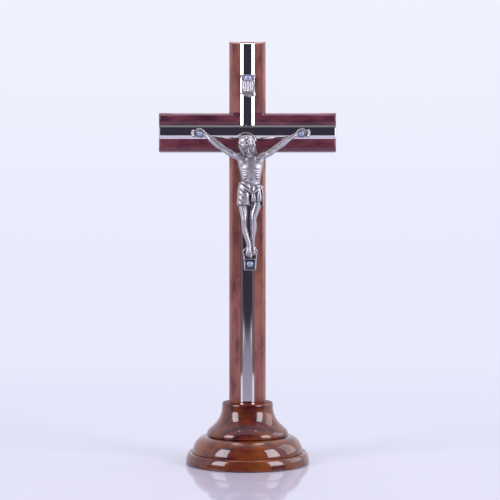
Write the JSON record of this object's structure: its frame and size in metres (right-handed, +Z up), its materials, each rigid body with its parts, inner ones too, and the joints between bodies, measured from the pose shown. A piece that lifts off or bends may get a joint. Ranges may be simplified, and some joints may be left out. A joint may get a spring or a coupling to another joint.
{
  "type": "standing cross",
  "caption": "Standing wooden cross with inlaid metal strips, a cast figure on nails and a turned round foot.",
  "frame": {"origin": "centre of the turned foot's underside, on the surface that the cross stands on", "axes": "+Z up along the post, -Y towards the viewer of the figure, +X along the crossbar to the viewer's right"},
  "size_m": [0.105, 0.0734, 0.25],
  "materials": {
    "foot_wood": "gloss lacquer over red-brown stain",
    "post_wood": "gloss lacquer over light red-brown stain",
    "bar_wood": "gloss lacquer over dark red stain",
    "nickel_strip": "mirror-polished nickel",
    "antique_silver": "antique silver plate, dark in the recesses",
    "nail_steel": "satin",
    "zinc_screw": "bright zinc"
  },
  "bodies": {
    "root": {"base_foot": "foot_wood", "base_screw": "zinc_screw", "upright_post": "post_wood", "crossbar": "bar_wood", "crossbar_strip": "nickel_strip", "upper_strip": "nickel_strip", "lower_strip": "nickel_strip", "corpus": "antique_silver", "scroll_plate": "antique_silver", "nail_left_hand": "nail_steel", "nail_right_hand": "nail_steel", "nail_footrest": "nail_steel", "nail_scroll": "nail_steel"}
  },
  "joints": []
}
